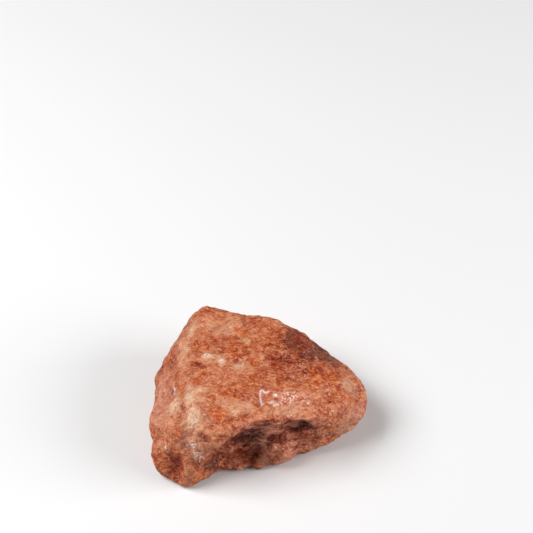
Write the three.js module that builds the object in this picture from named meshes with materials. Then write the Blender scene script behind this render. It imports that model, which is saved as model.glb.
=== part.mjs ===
// A rough sunstone: one broken lump of orange feldspar, lying on its flattest face.
// Millimetres, +X along the stone, +Y away from its front, +Z up, origin under its middle.
import * as THREE from "three";
import { ConvexGeometry } from "three/addons/geometries/ConvexGeometry.js";
import { ImprovedNoise } from "three/addons/math/ImprovedNoise.js";
import { mergeVertices } from "three/addons/utils/BufferGeometryUtils.js";

// The corners that the break left, in rows along the stone's edges.
const CORNERS = {
  crest: [
    [-11.4, 17.8, 15.3],
    [-13.2, 14.2, 15.0],
    [-15.9, 7.8, 14.6],
    [-15.0, 1.5, 15.7],
    [-13.9, -4.1, 16.3],
    [-13.3, -9.3, 16.5],
    [-12.6, -13.6, 15.6],
    [-12.0, -15.2, 12.9],
    [-11.7, -16.9, 8.4],
  ],
  backRim: [
    [-3.8, 16.1, 14.8],
    [0.9, 15.8, 14.3],
    [5.5, 14.0, 13.7],
    [5.8, 8.4, 15.0],
    [9.1, 5.6, 14.9],
    [12.1, 3.2, 14.7],
    [16.5, 2.6, 13.2],
  ],
  lip: [
    [13.7, -8.7, 13.1],
    [10.4, -11.0, 14.1],
    [5.9, -11.9, 14.6],
    [0.9, -12.8, 14.8],
    [-2.4, -14.1, 14.7],
    [-5.0, -14.9, 14.6],
    [-7.9, -16.2, 11.9],
    [-9.9, -16.6, 9.9],
  ],
  rightNose: [
    [21.4, 1.4, 10.5],
    [22.4, -0.8, 8.5],
    [22.3, -4.6, 6.8],
    [20.8, -5.9, 4.0],
    [17.2, -6.5, 2.4],
  ],
  backRight: [
    [11.7, 13.1, 9.5],
    [15.0, 9.5, 9.0],
    [19.7, 6.2, 8.5],
  ],
  leftSide: [
    [-14.3, 17.4, 12.4],
    [-16.4, 13.1, 11.8],
    [-17.6, 10.2, 11.4],
    [-19.8, 6.9, 10.0],
    [-21.1, 4.0, 9.0],
    [-21.6, -0.6, 8.5],
    [-22.3, -6.3, 7.5],
    [-21.4, -10.8, 6.3],
    [-20.9, -14.2, 3.0],
    [-20.2, -15.1, 1.4],
  ],
  back: [
    [-9.0, 18.6, 6.0],
    [3.0, 17.6, 5.0],
    [-18.0, 10.0, 4.0],
  ],
  frontFoot: [
    [-18.0, -16.1, 0.5],
    [-14.2, -18.2, 0.9],
    [-1.6, -13.5, 0.4],
    [3.5, -12.6, 0.5],
    [8.7, -10.4, 0.7],
    [13.7, -8.1, 1.0],
  ],
  bed: [
    [-15.5, -12.0, 0],
    [-12.5, -13.6, 0],
    [2.0, -9.6, 0],
    [9.0, -6.4, 0],
    [12.5, -1.0, 0],
    [9.5, 6.5, 0],
    [1.0, 11.0, 0],
    [-9.0, 11.5, 0],
    [-14.0, 5.0, 0],
    [-16.5, -4.0, 0],
  ],
};
const ROUNDING = 0.17;
const SCAR_ROUNDING = 0.3;

// Scars bite in and leave a sharp rim: an ellipsoid's middle and its reach along X, Y and Z.
const SCARS = {
  underLip: { at: [7.8, -17.5, 10.9], reach: [11.0, 7.3, 4.0] },
  lipBite: { at: [0.4, -18.3, 10.0], reach: [7.2, 6.6, 6.6] },
  lipBevel: { at: [0.4, -16.3, 16.9], reach: [6.8, 5.0, 5.0] },
  frontMiddle: { at: [-1.6, -19.4, 6.2], reach: [7.6, 8.0, 8.0] },
  underNose: { at: [-6.2, -20.6, 5.2], reach: [5.4, 8.2, 6.4] },
  backShell: { at: [-3.5, 27.2, 8.6], reach: [9.5, 10.8, 5.6] },
  backLeftShell: { at: [-20.5, 17.0, 3.5], reach: [6.5, 6.5, 5.0] },
};

// Dents and bulges fade out softly: the middle, the reach, and the depth, with bulges below zero.
const DENTS = {
  apex: { at: [-10.6, 17.0, 15.0], reach: [2.6, 2.6, 2.2], depth: -0.25 },
  footNotch: { at: [-8.2, -16.2, 0.6], reach: [3.6, 2.8, 3.4], depth: 1.0 },
  frontBelly: { at: [4.6, -12.6, 3.6], reach: [3.2, 2.4, 2.0], depth: -0.6 },
  leftFootHollow: { at: [-16.2, -16.2, 4.6], reach: [1.5, 2.2, 2.7], depth: 1.3 },
  tipRidge: { at: [-13.9, -17.4, 4.8], reach: [0.9, 1.6, 3.8], depth: -0.8 },
  leftWaist: { at: [-22.0, -1.9, 8.5], reach: [1.6, 2.2, 3.0], depth: 0.5 },
  leftLowNotch: { at: [-21.4, -10.4, 6.0], reach: [1.6, 1.5, 2.4], depth: 0.45 },
  crestCrease: { at: [-14.9, -7.8, 16.3], reach: [0.8, 2.6, 2.0], depth: 0.7 },
  yellowBump: { at: [-16.9, -7.3, 14.0], reach: [1.5, 2.2, 1.6], depth: -0.5 },
  crestSaddle: { at: [-12.2, -12.6, 16.0], reach: [1.6, 1.8, 2.0], depth: 0.35 },
  topHollow: { at: [3.5, 2.5, 15.0], reach: [6.0, 2.4, 3.0], depth: 0.5 },
  topSaddle: { at: [-3.5, 9.0, 15.5], reach: [4.0, 3.0, 3.0], depth: 0.4 },
  rightShoulder: { at: [16.0, -1.6, 13.0], reach: [3.6, 2.6, 2.6], depth: -0.5 },
  backRightDip: { at: [16.2, 9.2, 9.0], reach: [2.4, 2.4, 2.8], depth: 0.55 },
  rightFootDip: { at: [16.0, -7.4, 2.0], reach: [2.4, 2.0, 2.0], depth: 0.6 },
};

// A cleavage flat on the top: smooth, a step lower than the rough break, and turned about Z in degrees.
const FLAT = { at: [4.5, -6.1], turn: -2, half: [4.1, 1.6], edge: 0.9, sink: 0.22, lowest: 12 };

// The break's own relief: lumps, then grains whose flats tilt each way, then ledges along the cleavage.
const LUMPS = [
  { period: 9, height: 0.42 },
  { period: 4.2, height: 0.16 },
];
const GRAIN = { size: 4.4, slope: 0.1, bow: 0.03 };
const CLEAVAGE = new THREE.Vector3(0.1, 0.06, 1).normalize();
const LEDGE = { pitch: 3.1, depth: 0.16, riser: 0.4, waver: 2.2, waverPeriod: 8 };
const BED_CLEAR = 1.2;

// Every ray to the surface starts here.
const HEART = new THREE.Vector3(-1, 0, 7);
const RAY_STEP = 0.4;
const HALVINGS = 15;

// The hollows and the relief stay within this depth of the hull.
const SKIN = 3;

// No mesh edge is longer than this, except that edges grow with their depth inside the bed's outline.
const EDGE = 1.56;
const EDGE_GROWTH = 0.9;

const noise = new ImprovedNoise();
const NOISE_SHIFT = 40.5;
const noiseAt = (point, period) =>
  noise.noise(point.x / period + NOISE_SHIFT, point.y / period + NOISE_SHIFT, point.z / period + NOISE_SHIFT);

const softLargest = (values, width) => {
  const top = Math.max(...values);
  return top + width * Math.log(values.reduce((sum, v) => sum + Math.exp((v - top) / width), 0));
};

// How far a point is from the middle of a scar or dent, where 1 is its reach.
const awayFrom = (point, { at, reach }) =>
  Math.hypot((point.x - at[0]) / reach[0], (point.y - at[1]) / reach[1], (point.z - at[2]) / reach[2]);

const hullGeometry = new ConvexGeometry(
  Object.values(CORNERS)
    .flat()
    .map((corner) => new THREE.Vector3(...corner)),
);

function hullTriangles() {
  const place = hullGeometry.getAttribute("position");
  return Array.from({ length: place.count / 3 }, (_, i) =>
    [0, 1, 2].map((k) => new THREE.Vector3().fromBufferAttribute(place, 3 * i + k)),
  );
}

// One plane for each face of the hull but the bed.
function hullSides() {
  const planes = [];
  for (const [a, b, c] of hullTriangles()) {
    const plane = new THREE.Plane().setFromCoplanarPoints(a, b, c);
    const known = planes.some((other) => other.normal.dot(plane.normal) > 0.9999);
    if (!known && plane.normal.z > -0.999) planes.push(plane);
  }
  return planes;
}
const sides = hullSides();
const distances = (point) => sides.map((plane) => plane.distanceToPoint(point));

const dents = (point) =>
  Object.values(DENTS).reduce((sum, dent) => sum + dent.depth * Math.exp(-(awayFrom(point, dent) ** 2)), 0);

const scars = (point) =>
  Object.values(SCARS).map((scar) => (1 - awayFrom(point, scar)) * Math.min(...scar.reach));

// 1 on the cleavage flat, 0 off it, and between the two along its edge.
function onFlat(point) {
  if (point.z < FLAT.lowest) return 0;
  const turn = THREE.MathUtils.degToRad(FLAT.turn);
  const from = new THREE.Vector2(point.x, point.y).rotateAround(new THREE.Vector2(...FLAT.at), -turn);
  const [along, across] = [Math.abs(from.x - FLAT.at[0]), Math.abs(from.y - FLAT.at[1])];
  const inside = (reach, half) => 1 - THREE.MathUtils.smoothstep(reach, half - FLAT.edge / 2, half + FLAT.edge / 2);
  return inside(along, FLAT.half[0]) * inside(across, FLAT.half[1]);
}

// A number from 0 to 1 that is always the same for the same cell and channel.
function cellNumber(x, y, z, channel) {
  const s = Math.sin(x * 127.1 + y * 311.7 + z * 74.7 + channel * 53.3) * 43758.5453;
  return s - Math.floor(s);
}

// The grain of a cell: its middle and the way it tilts. Each is worked out once.
const grains = new Map();
function grainOf(x, y, z, layer) {
  const key = [x, y, z, layer].join();
  if (!grains.has(key)) {
    const [a, b, c, d, e, f] = [0, 1, 2, 3, 4, 5].map((k) => cellNumber(x, y, z, 6 * layer + k));
    const middle = new THREE.Vector3(x + a, y + b, z + c).multiplyScalar(GRAIN.size);
    const tilt = new THREE.Vector3(d - 0.5, e - 0.5, f - 0.5).multiplyScalar(2 * GRAIN.slope);
    grains.set(key, { middle, tilt });
  }
  return grains.get(key);
}

// The highest of the nearby grains' tilted flats, so that they meet in creases.
function grainFlats(point, layer) {
  const [cx, cy, cz] = point.toArray().map((v) => Math.floor(v / GRAIN.size));
  const away = new THREE.Vector3();
  let highest = -Infinity;
  for (let x = cx - 1; x <= cx + 1; x++)
    for (let y = cy - 1; y <= cy + 1; y++)
      for (let z = cz - 1; z <= cz + 1; z++) {
        const { middle, tilt } = grainOf(x, y, z, layer);
        away.subVectors(point, middle);
        highest = Math.max(highest, tilt.dot(away) - GRAIN.bow * away.lengthSq());
      }
  return highest;
}

// Steps that rise slowly and drop quickly along the cleavage.
function ledges(point) {
  const level = (point.dot(CLEAVAGE) + LEDGE.waver * noiseAt(point, LEDGE.waverPeriod)) / LEDGE.pitch;
  const share = level - Math.floor(level);
  const rise = share < 1 - LEDGE.riser ? share / (1 - LEDGE.riser) : (1 - share) / LEDGE.riser;
  return LEDGE.depth * (rise - 0.5);
}

function relief(point) {
  const lumps = LUMPS.reduce((sum, { period, height }) => sum + height * noiseAt(point, period), 0);
  return lumps + grainFlats(point, 0) - grainFlats(point, 1) + ledges(point);
}

// Below zero inside the stone. The relief fades towards the bed, which stays flat.
function field(point) {
  const planes = distances(point);
  const highest = Math.max(...planes);
  if (highest < -SKIN) return highest;
  const whole = softLargest(planes, ROUNDING) - ROUNDING + dents(point);
  const broken = softLargest([whole, ...scars(point)], SCAR_ROUNDING);
  const smooth = onFlat(point);
  const fade = THREE.MathUtils.smoothstep(point.z, 0, BED_CLEAR) * (1 - smooth);
  return Math.max(broken + fade * relief(point) + smooth * FLAT.sink, -point.z);
}

function surfaceAlong(direction) {
  const point = new THREE.Vector3();
  const at = (reach) => field(point.copy(direction).multiplyScalar(reach).add(HEART));
  let inside = 0;
  while (at(inside + RAY_STEP) < 0) inside += RAY_STEP;
  let outside = inside + RAY_STEP;
  for (let i = 0; i < HALVINGS; i++) {
    const middle = (inside + outside) / 2;
    if (at(middle) < 0) inside = middle;
    else outside = middle;
  }
  at(inside);
  return point;
}

// The hull's triangles, split at the middle of every edge that is longer than its place allows.
function splitTriangles() {
  const tooLong = (a, b) => {
    const middle = a.clone().add(b).multiplyScalar(0.5);
    const depth = Math.max(0, -Math.max(...distances(middle)));
    return a.distanceTo(b) / (EDGE + EDGE_GROWTH * depth);
  };
  const waiting = hullTriangles();
  const done = [];
  while (waiting.length > 0) {
    const triangle = waiting.pop();
    const excess = triangle.map((corner, i) => tooLong(corner, triangle[(i + 1) % 3]));
    const worst = excess.indexOf(Math.max(...excess));
    if (excess[worst] <= 1) {
      done.push(triangle);
      continue;
    }
    const [a, b, c] = [0, 1, 2].map((step) => triangle[(worst + step) % 3]);
    const middle = a.clone().add(b).multiplyScalar(0.5);
    waiting.push([a, middle, c], [middle, b, c]);
  }
  return done;
}

function stoneGeometry() {
  const geometry = mergeVertices(new THREE.BufferGeometry().setFromPoints(splitTriangles().flat()));
  const place = geometry.getAttribute("position");
  const ray = new THREE.Vector3();
  for (let i = 0; i < place.count; i++) {
    ray.fromBufferAttribute(place, i).sub(HEART).normalize();
    const point = surfaceAlong(ray);
    place.setXYZ(i, point.x, point.y, point.z < 0.001 ? 0 : point.z);
  }
  const middle = new THREE.Box3().setFromBufferAttribute(place).getCenter(new THREE.Vector3());
  geometry.translate(-middle.x, -middle.y, 0);
  geometry.computeVertexNormals();
  return geometry;
}

const feldspar = new THREE.MeshStandardMaterial({ color: 0xc27452, roughness: 0.5, metalness: 0 });
const stone = new THREE.Mesh(stoneGeometry(), feldspar);
stone.name = "stone";

const part = new THREE.Group();
part.add(stone);
export default part;
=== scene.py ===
"""A rough sunstone, one broken lump of orange feldspar, on a plain pale floor."""

import itertools
import math

import bpy
import numpy as np
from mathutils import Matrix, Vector


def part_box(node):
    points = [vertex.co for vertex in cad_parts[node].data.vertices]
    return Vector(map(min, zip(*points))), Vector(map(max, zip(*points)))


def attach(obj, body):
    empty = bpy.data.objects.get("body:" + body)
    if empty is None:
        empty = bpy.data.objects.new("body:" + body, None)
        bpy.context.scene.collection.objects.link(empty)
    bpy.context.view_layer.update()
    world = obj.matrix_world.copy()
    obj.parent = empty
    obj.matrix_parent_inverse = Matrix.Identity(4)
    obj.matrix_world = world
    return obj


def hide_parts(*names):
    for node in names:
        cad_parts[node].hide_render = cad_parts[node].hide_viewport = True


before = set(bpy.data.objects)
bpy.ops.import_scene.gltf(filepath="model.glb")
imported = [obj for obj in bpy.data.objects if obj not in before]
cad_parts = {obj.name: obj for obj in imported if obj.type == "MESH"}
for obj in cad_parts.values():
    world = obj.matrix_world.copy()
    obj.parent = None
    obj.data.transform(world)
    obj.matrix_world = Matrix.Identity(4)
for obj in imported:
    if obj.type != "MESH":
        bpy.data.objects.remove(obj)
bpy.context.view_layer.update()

# Lengths are in millimetres up to the point where a mesh, a lamp or the camera is made. A micron is in
# millimetres too, and a millimetre in metres.
MM = 0.001
MICRON = 0.001
SUBDIVISIONS = 2

# What random numbers and noises from 0 to 1 come to on average.
MIDDLE = 0.5

# Unrelated numbers, which make each cell's own number look random.
CELL_MIX = np.array([127.1, 311.7, 74.7])
CHANNEL_MIX = 53.3
SCATTER = 43758.5453

# The first channel of each kind of relief, so that no two kinds use the same numbers.
CHANNEL = {"ledges": 20, "lumps": 30, "pits": 40, "ribs": 50, "rim": 60, "patches": 70, "grains": 100}

# The fine relief: flats that tilt each way on grains of two sizes, steps along the cleavage, and lumps.
GRAINS = [
    {"size": 2.7, "slope": 0.13, "bow": 0.04},
    {"size": 1.35, "slope": 0.09, "bow": 0.05},
]
CLEAVAGE = np.array([0.10, 0.06, 0.99])
LEDGE = {"pitch": 1.25, "depth": 0.06, "riser": 0.25, "waver": 1.3, "waver_period": 4.0}
LUMP = {"period": 1.9, "height": 0.04}

# A pit's floor is flat for a share of its reach. The smallest pit has a share of the largest one's reach.
PIT = {"spacing": 3.1, "reach": 0.5, "smallest": 0.4, "flat_share": 0.5, "depth": 0.1}

# Thin sheets of feldspar lie across Y and stand out as ribs, which are higher on the left end.
RIB = {"period": np.array([3.2, 0.75, 3.2]), "height": 0.03}
LEFT_END = {"facing": (0.35, 0.75), "more_ribs": 0.5}

# The undercut front between these two places in X is rougher than the rest.
FRONT = {"left": -8.0, "right": 14.0, "fade": 4.0, "facing": (0.3, 0.8), "roughness": 1.8}

# The colour is paler on standing-out edges and raised relief and darker in creases and pits: painted light
# and shade, partly worn paleness on the edges.
# An edge that stands out this far is as pale as edges get, and relief this high as pale as relief gets.
EDGE_BULGE = 0.25
RELIEF_HEIGHT = 0.2

# The smooth cleavage flat on the top, as the CAD stone has it. Its turn is about Z, in degrees.
FLAT = {"at": (4.4, -6.35), "turn": -2, "half": (4.1, 1.6), "edge": 0.5, "lowest": 12}

# The flat's broken edge runs through these places in X and Y, and a spot lies on the flat beside it. Both
# stand a little proud and carry a painted white highlight.
RIM = {
    "line": [(0.8, -8.3), (0.4, -7.0), (0.4, -5.4), (0.9, -5.0), (1.5, -5.6), (2.1, -5.2)],
    "glint_spot": (3.5, -6.0),
    "glint_spot_reach": 0.25,
    "half_width": 0.28,
    "height": 0.06,
    "waver": 0.12,
    "waver_period": 0.8,
}

# Patches of colour that show from a step away: each has its middle and its reach along X, Y and Z.
PATCHES = {
    # Painted highlights: white glints on the flat's front edge, on the top, on the left end and down the
    # nose.
    "glint": [
        ((4.2, -7.9, 14.8), (4.8, 0.7, 1.0)),
        ((9.7, -7.4, 14.4), (0.6, 0.45, 1.0)),
        ((6.3, -10.8, 14.2), (0.9, 0.4, 0.8)),
        ((-10.4, 3.8, 15.8), (1.2, 0.9, 1.2)),
        ((-7.3, 1.7, 15.8), (1.1, 0.8, 1.2)),
        ((-16.9, -3.0, 13.8), (0.5, 1.2, 1.2)),
        ((-12.7, -15.9, 10.5), (0.9, 1.1, 1.5)),
        ((-12.0, -17.0, 9.2), (1.2, 1.3, 1.9)),
        ((-18.2, -14.2, 8.5), (0.5, 0.8, 1.1)),
    ],
    # Painted highlights: white dots on the flat.
    "glint_dots": [
        ((7.0, -6.4, 14.6), (2.7, 2.0, 1.2)),
    ],
    "pearl": [
        ((-13.4, -6.6, 16.2), (1.9, 3.2, 2.0)),
        ((-12.8, -12.0, 15.8), (1.8, 3.0, 2.0)),
        ((-17.1, -7.2, 13.4), (1.8, 2.4, 2.0)),
        ((-5.0, -10.7, 15.6), (1.5, 0.9, 1.2)),
        ((-3.6, 1.3, 15.3), (1.1, 1.3, 1.2)),
        ((-10.2, 3.6, 15.8), (1.5, 1.2, 1.4)),
        ((-7.2, 1.6, 15.8), (1.3, 1.1, 1.4)),
        ((-13.6, 10.4, 15.0), (1.2, 2.0, 1.4)),
    ],
    "cream": [
        ((-13.4, -7.5, 16.0), (3.2, 6.8, 3.0)),
        ((-12.4, -13.0, 15.2), (3.2, 3.0, 3.0)),
        ((-17.0, -7.2, 13.6), (2.8, 4.0, 3.0)),
        ((-13.0, -15.4, 10.4), (2.0, 1.6, 3.4)),
        ((-13.8, 11.5, 14.9), (2.2, 4.4, 2.5)),
        ((-14.8, 5.0, 14.9), (1.8, 5.0, 2.5)),
        ((-8.6, 3.0, 15.6), (4.4, 2.2, 2.5)),
        ((-3.7, 0.7, 15.2), (2.4, 1.8, 2.5)),
        ((-4.6, -9.6, 15.0), (5.0, 2.6, 2.5)),
        ((-6.3, 11.9, 15.0), (5.5, 3.2, 2.5)),
        ((5.0, -9.8, 14.6), (5.4, 1.3, 2.0)),
        ((18.6, -1.3, 11.4), (1.9, 1.9, 2.2)),
        ((18.0, -6.8, 7.0), (3.0, 2.4, 3.0)),
        ((4.4, -13.0, 3.8), (4.4, 2.4, 1.4)),
    ],
    "amber": [
        ((-3.9, 11.0, 15.0), (2.6, 1.8, 2.0)),
        ((-5.2, 4.6, 15.2), (2.4, 1.7, 2.0)),
        ((-12.4, -3.5, 16.1), (2.1, 1.4, 1.6)),
        ((-15.3, -4.3, 15.1), (1.2, 2.2, 1.8)),
        ((-8.1, -10.8, 15.8), (2.6, 1.4, 1.6)),
        ((-5.9, -5.5, 16.0), (1.4, 1.2, 1.4)),
        ((13.6, -0.2, 14.1), (4.2, 3.2, 2.2)),
        ((17.8, -4.4, 11.0), (1.4, 1.3, 1.8)),
        ((-15.9, -13.4, 12.4), (1.2, 1.4, 2.2)),
        ((-12.6, -17.2, 3.2), (2.8, 2.0, 2.0)),
    ],
    # Red-brown, partly painted shade: darker over the top's right side, the undercut front and the
    # front-left wall.
    "russet_and_shade": [
        ((9.8, 1.2, 14.6), (8.4, 5.0, 3.0)),
        ((1.0, -12.6, 8.0), (13.0, 4.0, 7.5)),
        ((-9.6, -15.6, 4.6), (3.4, 2.6, 4.6)),
    ],
    # Dark red streaks and spots of the stone; in the lower-left hollow and on the back-right facet partly
    # painted shade.
    "rust_and_shade": [
        ((-10.8, -15.4, 13.4), (1.6, 1.5, 2.6)),
        ((-14.9, -8.8, 14.8), (0.6, 1.8, 1.2)),
        ((13.0, 0.8, 14.2), (1.8, 1.2, 1.5)),
        ((-12.0, 0.7, 16.0), (2.4, 0.9, 1.5)),
        ((5.2, 3.3, 15.1), (2.4, 0.8, 1.6)),
        ((2.6, 4.1, 15.1), (1.6, 0.7, 1.6)),
        ((8.9, 9.0, 13.2), (2.8, 2.8, 2.0)),
        ((-16.3, -15.6, 4.2), (2.8, 3.0, 4.0)),
        ((-20.0, 4.4, 9.4), (1.4, 2.0, 1.8)),
    ],
    # Painted shade on the back-right facet, under the lip and on the undercut front, partly a browner
    # stone.
    "brown_and_shade": [
        ((8.5, 8.8, 13.6), (6.6, 5.4, 3.6)),
        ((12.8, 6.4, 12.4), (6.0, 4.4, 4.0)),
        ((13.8, 9.8, 10.2), (6.6, 3.8, 4.0)),
        ((9.8, 4.8, 14.6), (3.0, 2.0, 1.8)),
        ((-2.0, -12.0, 10.0), (6.6, 3.0, 4.3)),
        ((9.0, -10.8, 10.4), (4.4, 2.0, 2.4)),
        ((-9.2, -15.0, 4.0), (2.6, 2.0, 3.0)),
        ((0.8, -12.4, 14.0), (4.2, 1.2, 1.3)),
    ],
    # Dark grey-brown on the undercut front and the right side, partly painted shade.
    "grey_and_shade": [
        ((0.6, -12.0, 8.4), (2.4, 1.8, 2.8)),
        ((0.2, -12.6, 2.2), (2.0, 1.6, 1.2)),
        ((18.7, 5.4, 9.0), (3.4, 0.9, 1.3)),
    ],
    "olive": [
        ((-13.5, -5.9, 16.3), (1.0, 1.0, 1.2)),
        ((-15.2, -12.1, 13.6), (0.9, 1.6, 1.6)),
        ((-11.9, -13.0, 15.2), (1.3, 1.0, 1.2)),
        ((-2.6, 8.4, 15.2), (2.0, 1.0, 1.2)),
    ],
    "salmon": [
        ((-19.5, -4.0, 9.5), (3.4, 9.5, 6.0)),
        ((-12.6, -14.0, 11.0), (5.0, 4.0, 5.0)),
        ((19.4, -5.6, 6.0), (3.6, 3.6, 4.0)),
        ((8.6, -9.6, 14.2), (4.6, 1.8, 1.4)),
    ],
}

# A patch is whole out to the first share of its reach and gone at the second, and its outline wavers.
PATCH_FADE = (0.2, 1.3)
PATCH_WAVER = [
    {"period": 2.6, "shift": 0.9},
    {"period": 0.9, "shift": 0.45},
]

# The stone's two main colours. All the colours here are as a picture shows them, from 0 to 255.
AMBER = (196, 86, 16)
SALMON = (196, 90, 42)

# What lies on them, the stone's own marks and some painted light and shade: its colour, the most of it
# that shows, and how far its edge frays where it does.
LOOKS = {
    "cream": {"colour": (244, 204, 168), "most": 0.55},
    # Russet, brown, rust and grey are partly painted shade.
    "russet_and_shade": {"colour": (164, 70, 36), "most": 0.5, "fray": 1.0},
    "salmon": {"colour": (234, 168, 142), "most": 0.65, "fray": 1.0},
    "brown_and_shade": {"colour": (102, 30, 10), "most": 0.86, "fray": 1.2},
    "amber": {"colour": (212, 96, 12), "most": 0.85, "fray": 1.4},
    "rust_and_shade": {"colour": (150, 40, 8), "most": 0.85, "fray": 1.4},
    "olive": {"colour": (190, 152, 96), "most": 0.5, "fray": 1.4},
    "grey_and_shade": {"colour": (88, 58, 40), "most": 0.5, "fray": 1.2},
    "pearl": {"colour": (255, 226, 194), "most": 1.0, "fray": 1.2},
    # Painted sheen: the flat's lighter pink.
    "flat": {"colour": (226, 148, 124), "most": 0.35},
    # Painted highlights: fine specks all over, glints, the flat's white dots and its white rim.
    "grit_and_glint": {"colour": (255, 222, 200), "most": 0.5},
    "glint": {"colour": (255, 228, 216), "most": 0.95, "fray": 1.0},
    "glint_dots": {"colour": (255, 236, 230), "most": 1.0},
    "rim": {"colour": (255, 244, 240), "most": 1.0},
}

# The patches of plain colour, in the order in which they are laid one over another.
PLAIN_PATCHES = ["russet_and_shade", "salmon", "brown_and_shade", "amber", "rust_and_shade", "olive", "grey_and_shade"]

# How far cream places shift the stone's clouds towards pale and russet ones towards dark, partly as
# painted shade, and the small clouds' share of it.
LIFT = {"cream": 0.08, "russet_and_shade": -0.22, "small_share": 0.3}

# What darkens the stone's colour, by multiplying it, and what it pales to: all over, and on the front.
ORANGE_TINTS = {"dark": (200, 132, 108), "pale": (244, 174, 131)}
FRONT_TINTS = {"dark": (206, 158, 146), "pale": (236, 156, 130)}

# The noise that bends what is drawn on the stone: its bumps per millimetre, and its reach in millimetres.
WARP = {"scale": 0.5, "detail": 1.0, "reach": 2.2}

# How two of the noises are scaled along X, Y and Z. A smaller number makes longer marks.
THREAD_STRETCH = (0.6, 1.3, 1.0)
STREAK_STRETCH = (0.6, 1.0, 1.2)

# The white dots on the flat, painted highlights, whose edge softens between these shares of their reach.
DOT = {"spacing": 0.5, "reach": 0.2, "edge": (0.7, 1.3)}

# What is too fine for the mesh: how strong each kind is, in millimetres, and the share left on the flat.
BUMP = {"facets": 0.3, "lumps": 0.5, "threads": 0.1, "flat_share": 0.25}

# The surface is duller on the brown patches, which are partly painted shade, and glossier on the flat than
# in general.
ROUGHNESS = {"least": 0.22, "most": 0.44, "brown_and_shade": 0.5, "flat": 0.18}

# The camera looks at this point on the floor, as steeply and from as far away as the photograph does.
CAMERA = {
    "aim": (1.7, 43.2, 0),
    "elevation": 47.0,
    "distance": 330.0,
    "lens": 96.2,
    "sensor": 36.0,
    "nearest": 10,
}


def smooth_step(values, low, high):
    share = np.clip((values - low) / (high - low), 0, 1)
    return share * share * (3 - 2 * share)


def cell_number(cells, channel):
    """A number from 0 to 1 for each cell, always the same for the same cell and channel."""
    mixed_up = np.sin(cells @ CELL_MIX + CHANNEL_MIX * channel) * SCATTER
    return mixed_up - np.floor(mixed_up)


def noise(points, period, channel):
    """Smooth noise from -1 to 1, with bumps about one period across."""
    places = points / period
    cells = np.floor(places)
    share = smooth_step(places - cells, 0, 1)
    total = np.zeros(len(points))
    for corner in itertools.product((0, 1), repeat=3):
        weight = np.prod(np.where(corner, share, 1 - share), axis=1)
        total += weight * cell_number(cells + corner, channel)
    return 2 * total - 1


def neighbour_cells(points, size):
    """Every point's own cell and those around it, in turn: 27 times one cell for each point."""
    cells = np.floor(points / size)
    for step in itertools.product((-1, 0, 1), repeat=3):
        yield cells + step


def cell_numbers(cells, channels):
    """Several numbers for each cell, one for each channel, side by side."""
    return np.stack([cell_number(cells, channel) for channel in channels], axis=1)


def cell_middles(cells, size, channel):
    """A place within each cell, from this channel and the next two."""
    return size * (cells + cell_numbers(cells, range(channel, channel + 3)))


def grain_flats(points, grain, channel):
    """The highest of the nearby grains' tilted flats, so that they meet in creases."""
    highest = np.full(len(points), -np.inf)
    for cells in neighbour_cells(points, grain["size"]):
        away = points - cell_middles(cells, grain["size"], channel)
        tilt = cell_numbers(cells, range(channel + 3, channel + 6)) - MIDDLE
        rise = 2 * grain["slope"] * (tilt * away).sum(axis=1)
        highest = np.maximum(highest, rise - grain["bow"] * (away**2).sum(axis=1))
    return highest


def grains(points):
    """Grains that stand out, less others that lie in, of each size."""
    total = np.zeros(len(points))
    # Each size has twenty channels, the first ten for the grains that stand out.
    for number, grain in enumerate(GRAINS):
        channel = CHANNEL["grains"] + 20 * number
        total += grain_flats(points, grain, channel)
        total -= grain_flats(points, grain, channel + 10)
    return total


def ledges(points):
    """Steps that rise slowly and drop quickly along the cleavage."""
    waver = LEDGE["waver"] * noise(points, LEDGE["waver_period"], CHANNEL["ledges"])
    share = (points @ CLEAVAGE + waver) / LEDGE["pitch"] % 1
    tread = 1 - LEDGE["riser"]
    rise = np.where(share < tread, share / tread, (1 - share) / LEDGE["riser"])
    return LEDGE["depth"] * (rise - MIDDLE)


def pits(points):
    """Small hollows where a grain came out."""
    channel = CHANNEL["pits"]
    nearest = np.full(len(points), np.inf)
    for cells in neighbour_cells(points, PIT["spacing"]):
        size = PIT["smallest"] + (1 - PIT["smallest"]) * cell_number(cells, channel + 3)
        away = points - cell_middles(cells, PIT["spacing"], channel)
        nearest = np.minimum(nearest, np.linalg.norm(away, axis=1) / (PIT["reach"] * size))
    return -PIT["depth"] * (1 - smooth_step(nearest, PIT["flat_share"], 1))


def ribs(points, normals):
    """Thin ribs of the sheets that lie across Y, higher on the left end."""
    left_end = smooth_step(-normals[:, 0], *LEFT_END["facing"])
    height = RIB["height"] * (1 + LEFT_END["more_ribs"] * left_end)
    return height * noise(points, RIB["period"], CHANNEL["ribs"])


def above_sides(points):
    """Whether each point lies as high as the cleavage flat, not on the stone's sides."""
    return points[:, 2] > FLAT["lowest"]


def on_flat(points):
    """1 on the cleavage flat and 0 off it."""
    turn = math.radians(FLAT["turn"])
    away = points[:, :2] - FLAT["at"]
    along = away @ (math.cos(turn), math.sin(turn))
    across = away @ (-math.sin(turn), math.cos(turn))
    past_edge = np.maximum(np.abs(along) - FLAT["half"][0], np.abs(across) - FLAT["half"][1])
    return (1 - smooth_step(past_edge, -FLAT["edge"], FLAT["edge"])) * above_sides(points)


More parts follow.
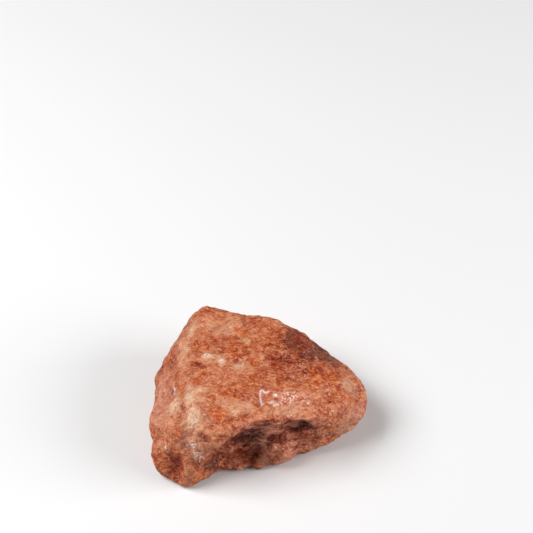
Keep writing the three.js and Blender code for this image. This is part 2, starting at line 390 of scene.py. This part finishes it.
def flat_rim(points):
    """1 along the flat's left edge, round its left back corner and on a spot beside it, where a painted
    white highlight lies.
    """
    channels = (CHANNEL["rim"], CHANNEL["rim"] + 1)
    shift = np.stack([noise(points, RIM["waver_period"], channel) for channel in channels], axis=1)
    away = points[:, :2] + RIM["waver"] * shift
    nearest = np.linalg.norm(away - RIM["glint_spot"], axis=1) - RIM["glint_spot_reach"]
    for start, end in itertools.pairwise(RIM["line"]):
        side = np.subtract(end, start)
        share = np.clip((away - start) @ side / (side @ side), 0, 1)
        nearest = np.minimum(nearest, np.linalg.norm(away - start - share[:, None] * side, axis=1))
    return (1 - smooth_step(nearest, 0, RIM["half_width"])) * above_sides(points)


def on_front(points, normals):
    """1 in the middle of the undercut front, which broke more roughly than the rest."""
    facing = smooth_step(-normals[:, 1], *FRONT["facing"])
    inside = np.minimum(points[:, 0] - FRONT["left"], FRONT["right"] - points[:, 0])
    return facing * smooth_step(inside, 0, FRONT["fade"])


def relief(points, normals):
    """How far the broken surface stands out from the smooth stone."""
    lumps = LUMP["height"] * noise(points, LUMP["period"], CHANNEL["lumps"])
    total = lumps + ledges(points) + pits(points) + grains(points)
    total *= 1 + (FRONT["roughness"] - 1) * on_front(points, normals)
    total += ribs(points, normals)
    return total * (1 - on_flat(points)) + RIM["height"] * flat_rim(points)


def patch_shares(points, patches):
    """How strongly each point belongs to one of the patches, from 0 to 1, with a wavering outline."""
    moved = points.copy()
    for number, waver in enumerate(PATCH_WAVER):
        for axis in range(3):
            channel = CHANNEL["patches"] + 3 * number + axis
            moved[:, axis] += waver["shift"] * noise(points, waver["period"], channel)
    share = np.zeros(len(points))
    for middle, reach in patches:
        away = np.linalg.norm((moved - middle) / reach, axis=1)
        share = np.maximum(share, 1 - smooth_step(away, *PATCH_FADE))
    return share


def merged(mesh):
    """A mesh's points in millimetres, each once, and its triangles."""
    mesh.calc_loop_triangles()
    places = np.empty(3 * len(mesh.vertices), np.float32)
    mesh.vertices.foreach_get("co", places)
    corners = np.empty(3 * len(mesh.loop_triangles), np.int32)
    mesh.loop_triangles.foreach_get("vertices", corners)
    microns = np.round(places.astype(float).reshape(-1, 3) / (MM * MICRON))
    points, number = np.unique(microns, axis=0, return_inverse=True)
    return points * MICRON, number.ravel()[corners].reshape(-1, 3)


def subdivided(points, triangles):
    """One round of Loop subdivision: each triangle becomes four, and the surface smoother."""
    sides = np.sort(triangles[:, [[0, 1], [1, 2], [2, 0]]].reshape(-1, 2), axis=1)
    edges, edge_of = np.unique(sides, axis=0, return_inverse=True)
    edge_of = edge_of.reshape(-1, 3)

    # A new point takes three eighths of each end of its edge and an eighth of each corner opposite.
    opposite = np.zeros((len(edges), points.shape[1]))
    np.add.at(opposite, edge_of.ravel(), points[triangles[:, [2, 0, 1]].ravel()])
    middles = 3 / 8 * points[edges].sum(axis=1) + 1 / 8 * opposite

    # An old point moves towards its neighbours, by the weights that keep the surface smooth there.
    around = np.zeros_like(points)
    np.add.at(around, edges.ravel(), points[edges[:, ::-1].ravel()])
    count = np.bincount(edges.ravel(), minlength=len(points))[:, None]
    weight = np.where(count == 3, 3 / 16, 3 / (8 * count))
    corners = points * (1 - weight * count) + around * weight

    a, b, c = triangles.T
    ab, bc, ca = (edge_of + len(points)).T
    children = [(a, ab, ca), (ab, b, bc), (ca, bc, c), (ab, bc, ca)]
    smaller = np.concatenate([np.stack(child, axis=1) for child in children])
    return np.concatenate([corners, middles]), smaller


def normals_of(points, triangles):
    a, b, c = (points[triangles[:, corner]] for corner in range(3))
    facing = np.cross(b - a, c - a)
    total = np.zeros_like(points)
    for corner in range(3):
        np.add.at(total, triangles[:, corner], facing)
    return total / np.linalg.norm(total, axis=1, keepdims=True)


def bulge(points, triangles):
    """How far each point stands out from the middle of its neighbours, in millimetres."""
    total = np.zeros_like(points)
    count = np.zeros((len(points), 1))
    for start, end in ((0, 1), (1, 2), (2, 0)):
        np.add.at(total, triangles[:, start], points[triangles[:, end]])
        np.add.at(count, triangles[:, start], 1)
    return ((points - total / count) * normals_of(points, triangles)).sum(axis=1)


def stone_surface():
    """The CAD stone with its fine relief, and what its material needs to know of each point."""
    points, triangles = merged(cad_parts["stone"].data)
    rows = np.column_stack([points, bulge(points, triangles)])
    for _ in range(SUBDIVISIONS):
        rows, triangles = subdivided(rows, triangles)
    smooth, edge = rows[:, :3], rows[:, 3]
    normals = normals_of(smooth, triangles)
    height = relief(smooth, normals)
    height -= height.mean()
    low, high = (np.array(corner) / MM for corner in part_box("stone"))
    broken = np.clip(smooth + height[:, None] * normals, low, high)

    shares = {name: patch_shares(smooth, patches) for name, patches in PATCHES.items()}
    shares["flat"] = on_flat(smooth)
    shares["rim"] = flat_rim(smooth)
    shares["front"] = on_front(smooth, normals)
    # Shares for painted light and shade: paler on standing-out edges and raised relief, darker in creases
    # and pits.
    shares["edge"] = edge / EDGE_BULGE
    shares["height"] = height / RELIEF_HEIGHT
    return broken, triangles, shares


def build_stone(material):
    """The stone itself, kept inside the CAD box and above the floor."""
    broken, triangles, shares = stone_surface()
    mesh = bpy.data.meshes.new("feldspar_lump")
    mesh.from_pydata((broken * MM).tolist(), [], triangles.tolist())
    mesh.shade_smooth()
    for name, share in shares.items():
        layer = mesh.attributes.new(name, "FLOAT", "POINT")
        layer.data.foreach_set("value", share.astype(np.float32))
    mesh.materials.append(material)
    stone = bpy.data.objects.new("feldspar_lump", mesh)
    bpy.context.scene.collection.objects.link(stone)
    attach(stone, "root")
    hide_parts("stone")


def set_inputs(tree, node, inputs):
    """Gives a node's inputs their numbers or colours, or links other nodes' outputs to them."""
    for name, value in inputs.items():
        if isinstance(value, bpy.types.NodeSocket):
            tree.links.new(value, node.inputs[name])
        else:
            node.inputs[name].default_value = value


def add_node(tree, kind, inputs, **settings):
    node = tree.nodes.new(kind)
    for name, value in settings.items():
        setattr(node, name, value)
    set_inputs(tree, node, inputs)
    return node


def sum_of(tree, *terms):
    total = terms[0]
    for term in terms[1:]:
        total = add_node(tree, "ShaderNodeMath", {0: total, 1: term}, operation="ADD").outputs[0]
    return total


def product(tree, first, second):
    return add_node(tree, "ShaderNodeMath", {0: first, 1: second}, operation="MULTIPLY").outputs[0]


def vector_node(tree, operation, *vectors):
    """A node that works on vectors. Its result is its output Vector, or Value where that is a number."""
    inputs = dict(enumerate(vectors))
    return add_node(tree, "ShaderNodeVectorMath", inputs, operation=operation)


def stretched(tree, place, scale):
    return vector_node(tree, "MULTIPLY", place, scale).outputs["Vector"]


def centred(tree, random_vector):
    """A random vector of numbers from 0 to 1, moved to lie round 0."""
    return vector_node(tree, "SUBTRACT", random_vector, (MIDDLE, MIDDLE, MIDDLE)).outputs["Vector"]


def between(tree, value, low=0.0, high=1.0, to_low=0.0, to_high=1.0):
    """The value taken smoothly from its range, low to high, to another."""
    inputs = {"Value": value, "From Min": low, "From Max": high, "To Min": to_low, "To Max": to_high}
    return add_node(tree, "ShaderNodeMapRange", inputs, interpolation_type="SMOOTHSTEP").outputs[0]


def evenly(tree, value, low, high):
    """0 at low, 1 at high, and evenly between the two."""
    inputs = {"Value": value, "From Min": low, "From Max": high}
    return add_node(tree, "ShaderNodeMapRange", inputs).outputs[0]


def mixed(tree, share, first, second, blend="MIX"):
    """The first colour with a share of the second, by the node's colour inputs 6 and 7 and output 2."""
    inputs = {0: share, 6: first, 7: second}
    return add_node(tree, "ShaderNodeMix", inputs, data_type="RGBA", blend_type=blend).outputs[2]


def noise_node(tree, place, scale, detail, roughness, distortion=0.0):
    """A noise from 0 to 1, mostly near the middle. Its scale is in bumps to a millimetre."""
    inputs = {"Vector": place, "Scale": scale, "Detail": detail, "Roughness": roughness}
    return add_node(tree, "ShaderNodeTexNoise", inputs | {"Distortion": distortion}).outputs[0]


def painted(tree, name):
    """One of the shares that build_stone gives each point."""
    return add_node(tree, "ShaderNodeAttribute", {}, attribute_name=name).outputs["Fac"]


def colour(picture_colour):
    """A linear colour from one as a picture shows it, by the sRGB curve."""
    shares = [value / 255 for value in picture_colour]
    linear = [s / 12.92 if s <= 0.04045 else ((s + 0.055) / 1.055) ** 2.4 for s in shares]
    return (*linear, 1.0)


def camera_ray(tree):
    """1 where the camera sees a surface itself, and 0 where its light falls on something else."""
    return add_node(tree, "ShaderNodeLightPath", {}).outputs["Is Camera Ray"]


def ragged_share(tree, name, ragged):
    """How much of a painted patch shows. A noise frays its edge, but no further than the paint goes."""
    inside = painted(tree, name)
    fray = LOOKS[name]["fray"]
    level = sum_of(tree, inside, product(tree, ragged, fray), -MIDDLE * fray)
    return product(tree, between(tree, level), between(tree, inside, high=0.3))


def laid_on(tree, shade, name, share):
    """The shade with a look's colour laid over it. A share of 1 lays on the most that ever shows."""
    look = LOOKS[name]
    return mixed(tree, product(tree, share, look["most"]), shade, colour(look["colour"]))


def bent_place(tree, place):
    """The place, shifted about by a noise, so that what is drawn there wavers."""
    inputs = {"Vector": place, "Scale": WARP["scale"], "Detail": WARP["detail"]}
    warp = add_node(tree, "ShaderNodeTexNoise", inputs).outputs["Color"]
    reach = (WARP["reach"],) * 3
    return vector_node(tree, "MULTIPLY_ADD", centred(tree, warp), reach, place).outputs["Vector"]


def threads(tree, bent):
    """Short thin streaks that follow the bent grain of the stone, mostly along X."""
    return noise_node(tree, stretched(tree, bent, THREAD_STRETCH), scale=1.9, detail=2.0, roughness=0.65)


def dots(tree, place):
    """1 in small round dots and 0 between them."""
    cells = add_node(tree, "ShaderNodeTexVoronoi", {"Vector": place, "Scale": 1 / DOT["spacing"]})
    inner, outer = (edge * DOT["reach"] / DOT["spacing"] for edge in DOT["edge"])
    return between(tree, cells.outputs["Distance"], inner, outer, to_low=1.0, to_high=0.0)


def varied(tree, shade, value, reach, dark, pale, middle=MIDDLE, tints=ORANGE_TINTS):
    """The shade made redder and darker where a value lies below its middle, and paler above it."""
    low = evenly(tree, value, middle, middle - reach)
    high = evenly(tree, value, middle, middle + reach)
    shade = mixed(tree, product(tree, low, dark), shade, colour(tints["dark"]), "MULTIPLY")
    return mixed(tree, product(tree, high, pale), shade, colour(tints["pale"]))


def clouded_ground(tree, bent, lift):
    """Amber and salmon, cream where the stone is palest, in broad dark and pale clouds, with painted
    highlight on edges and painted shade in creases.
    """
    hue = noise_node(tree, bent, scale=0.2, detail=2.0, roughness=0.5)
    shade = mixed(tree, between(tree, hue, low=0.38, high=0.62), colour(AMBER), colour(SALMON))
    shade = laid_on(tree, shade, "cream", painted(tree, "cream"))
    broad = noise_node(tree, bent, scale=0.36, detail=3.0, roughness=0.5, distortion=0.3)
    shade = varied(tree, shade, sum_of(tree, broad, lift), reach=0.27, dark=0.8, pale=0.5)
    # Painted highlight on standing-out edges, partly worn paleness, and painted shade in creases.
    return varied(tree, shade, painted(tree, "edge"), reach=1.0, dark=0.3, pale=0.35, middle=0.0)


def with_patches(tree, shade, ragged, grit_and_glint):
    """The shade with the placed patches on it, grainy pearl ones last, and then a painted sheen on the
    flat.
    """
    for name in PLAIN_PATCHES:
        shade = laid_on(tree, shade, name, ragged_share(tree, name, ragged))
    grains_seen = between(tree, grit_and_glint, low=0.36, high=0.58, to_low=0.35)
    shade = laid_on(tree, shade, "pearl", product(tree, ragged_share(tree, "pearl", ragged), grains_seen))
    # Painted sheen on the flat.
    return laid_on(tree, shade, "flat", painted(tree, "flat"))


def with_fine_marks(tree, shade, bent, lift):
    """The shade with small clouds, painted light and shade on the relief, threads and front streaks. Dusky
    patches pale less.
    """
    dusky = sum_of(tree, painted(tree, "brown_and_shade"), painted(tree, "rust_and_shade"))
    pale = between(tree, dusky, to_low=0.7, to_high=0.2)
    small = noise_node(tree, bent, scale=0.95, detail=2.0, roughness=0.5)
    small = sum_of(tree, small, product(tree, lift, LIFT["small_share"]))
    shade = varied(tree, shade, small, reach=0.26, dark=0.9, pale=product(tree, pale, 0.9))
    # Painted light and shade on the relief: paler where it is raised, darker in its hollows.
    height = painted(tree, "height")
    shade = varied(tree, shade, height, reach=1.0, dark=0.35, pale=product(tree, pale, 0.3), middle=0.0)
    shade = varied(tree, shade, threads(tree, bent), reach=0.22, dark=0.5, pale=product(tree, pale, 1.1))

    front = painted(tree, "front")
    streaked = stretched(tree, bent, STREAK_STRETCH)
    streaks = noise_node(tree, streaked, scale=0.45, detail=4.0, roughness=0.65)
    front_pale = product(tree, front, 0.75)
    return varied(tree, shade, streaks, reach=0.1, dark=front, pale=front_pale, tints=FRONT_TINTS)


def with_glints(tree, shade, place, ragged, grit_and_glint):
    """The shade with painted highlights: fine pale specks all over it, glinting spots, and the flat's
    white dots and rim.
    """
    # Painted highlights: fine pale specks all over the stone.
    shade = laid_on(tree, shade, "grit_and_glint", between(tree, grit_and_glint, low=0.63, high=0.72))
    sparkle = between(tree, grit_and_glint, low=0.44, high=0.56)
    shade = laid_on(tree, shade, "glint", product(tree, sparkle, ragged_share(tree, "glint", ragged)))
    shade = laid_on(tree, shade, "glint_dots", product(tree, dots(tree, place), painted(tree, "glint_dots")))
    rim_glint_breakup = between(tree, grit_and_glint, low=0.36, high=0.46, to_low=0.4)
    # Painted highlight along the flat's rim and on the spot beside it.
    return laid_on(tree, shade, "rim", product(tree, painted(tree, "rim"), rim_glint_breakup))


def feldspar_colour(tree, place, bent):
    """The stone's colour, from its broad clouds to its smallest glints, with light and shade painted into
    it in places.
    """
    ragged = noise_node(tree, bent, scale=0.8, detail=3.0, roughness=0.6)
    grit_and_glint = noise_node(tree, place, scale=2.2, detail=2.0, roughness=0.6)
    # Cream pales the clouds; russet darkens them, partly as painted shade.
    cream = product(tree, painted(tree, "cream"), LIFT["cream"])
    russet_and_shade = product(tree, painted(tree, "russet_and_shade"), LIFT["russet_and_shade"])
    lift = sum_of(tree, cream, russet_and_shade)
    shade = clouded_ground(tree, bent, lift)
    shade = with_patches(tree, shade, ragged, grit_and_glint)
    shade = with_fine_marks(tree, shade, bent, lift)
    return with_glints(tree, shade, place, ragged, grit_and_glint)


def fine_surface(tree, bent):
    """The height of what is too fine for the mesh, in millimetres: facets, lumps and threads."""
    facets = add_node(tree, "ShaderNodeTexVoronoi", {"Vector": bent, "Scale": 1.5})
    away = vector_node(tree, "SUBTRACT", bent, facets.outputs["Position"]).outputs["Vector"]
    tilt = centred(tree, facets.outputs["Color"])
    tilted = vector_node(tree, "DOT_PRODUCT", away, tilt).outputs["Value"]
    lumps = noise_node(tree, bent, scale=1.2, detail=2.0, roughness=0.5)
    return sum_of(
        tree,
        product(tree, tilted, BUMP["facets"]),
        product(tree, lumps, BUMP["lumps"]),
        product(tree, threads(tree, bent), BUMP["threads"]),
    )


def feldspar_bump(tree, bent):
    """The surface's direction with its fine relief, most of which is missing on the smooth flat."""
    left = between(tree, painted(tree, "flat"), to_low=1.0, to_high=BUMP["flat_share"])
    inputs = {"Height": product(tree, fine_surface(tree, bent), left), "Strength": 1.0, "Distance": MM}
    return add_node(tree, "ShaderNodeBump", inputs).outputs[0]


def feldspar_roughness(tree, place):
    """Duller and glossier spots all over, dull brown and shaded patches and a glossy flat."""
    spots = noise_node(tree, place, scale=1.1, detail=4.0, roughness=0.65)
    least, most = ROUGHNESS["least"], ROUGHNESS["most"]
    rough = between(tree, spots, low=0.35, high=0.65, to_low=least, to_high=most)
    rough = between(tree, painted(tree, "brown_and_shade"), to_low=rough, to_high=ROUGHNESS["brown_and_shade"])
    return between(tree, painted(tree, "flat"), to_low=rough, to_high=ROUGHNESS["flat"])


def new_material(name):
    """A new material, with the tree of its nodes and its main shader."""
    material = bpy.data.materials.new(name)
    material.use_nodes = True
    return material, material.node_tree, material.node_tree.nodes["Principled BSDF"]


def feldspar_material():
    """Faintly see-through broken feldspar. Light scatters about 2 mm under its surface, red furthest."""
    material, tree, shader = new_material("broken_feldspar")
    metres = add_node(tree, "ShaderNodeTexCoord", {}).outputs["Object"]
    place = stretched(tree, metres, (1 / MM, 1 / MM, 1 / MM))
    bent = bent_place(tree, place)
    set_inputs(tree, shader, {
        "Base Color": feldspar_colour(tree, place, bent),
        "Roughness": feldspar_roughness(tree, place),
        "Normal": feldspar_bump(tree, bent),
        "IOR": 1.54,
        "Specular IOR Level": 0.3,
        "Subsurface Weight": 0.25,
        "Subsurface Radius": (1.0, 0.42, 0.25),
        "Subsurface Scale": 2.0 * MM,
    })
    return material


def floor_material(seen=0.95, reflected=0.45):
    """A white floor that sends less light up at the stone than it shows, as a lifted stone would get."""
    material, tree, shader = new_material("pale_floor")
    set_inputs(tree, shader, {
        "Base Color": between(tree, camera_ray(tree), to_low=reflected, to_high=seen),
        "Roughness": 0.9,
        "Specular IOR Level": 0.1,
    })
    return material


def build_floor(half_side=1500.0, drop=0.02):
    """A floor wider than any view, a hair's breadth below the stone so that the surfaces don't meet."""
    corners = [(-1, -1), (1, -1), (1, 1), (-1, 1)]
    mesh = bpy.data.meshes.new("floor")
    points = [(x * half_side * MM, y * half_side * MM, -drop * MM) for x, y in corners]
    mesh.from_pydata(points, [], [(0, 1, 2, 3)])
    mesh.materials.append(floor_material())
    floor = bpy.data.objects.new("floor", mesh)
    bpy.context.scene.collection.objects.link(floor)


def softbox(name, side, elevation, distance, size, power):
    """A square lamp that faces the stone. Side is its bearing in degrees, from +X towards +Y."""
    lamp = bpy.data.lights.new(name, "AREA")
    lamp.shape = "SQUARE"
    lamp.size = size * MM
    lamp.energy = power
    holder = bpy.data.objects.new(name, lamp)
    bearing, rise = math.radians(side), math.radians(elevation)
    level = math.cos(rise)
    away = Vector((math.cos(bearing) * level, math.sin(bearing) * level, math.sin(rise)))
    holder.location = away * distance * MM
    holder.rotation_euler = away.to_track_quat("Z", "Y").to_euler()
    bpy.context.scene.collection.objects.link(holder)


def build_world(light=0.12, seen=0.85):
    """A dim surround, which lets the lamps shape the stone but shows as a pale wall behind it."""
    world = bpy.data.worlds.new("studio")
    world.use_nodes = True
    tree = world.node_tree
    set_inputs(tree, tree.nodes["Background"], {
        "Color": (1, 1, 1, 1),
        "Strength": between(tree, camera_ray(tree), to_low=light, to_high=seen),
    })
    bpy.context.scene.world = world


def light_scene():
    softbox("key", side=180, elevation=50, distance=520, size=330, power=2.5)
    softbox("fill", side=352, elevation=22, distance=520, size=330, power=2.1)
    build_world()
    bpy.context.scene.view_settings.view_transform = "Standard"


def place_camera():
    rise = math.radians(CAMERA["elevation"])
    back = Vector((0, -math.cos(rise), math.sin(rise)))
    camera = bpy.data.objects.new("camera", bpy.data.cameras.new("camera"))
    camera.data.lens = CAMERA["lens"]
    camera.data.sensor_width = CAMERA["sensor"]
    camera.data.clip_start = CAMERA["nearest"] * MM
    camera.location = (Vector(CAMERA["aim"]) + back * CAMERA["distance"]) * MM
    camera.rotation_euler = back.to_track_quat("Z", "Y").to_euler()
    bpy.context.scene.collection.objects.link(camera)
    bpy.context.scene.camera = camera


build_stone(feldspar_material())
build_floor()
light_scene()
place_camera()
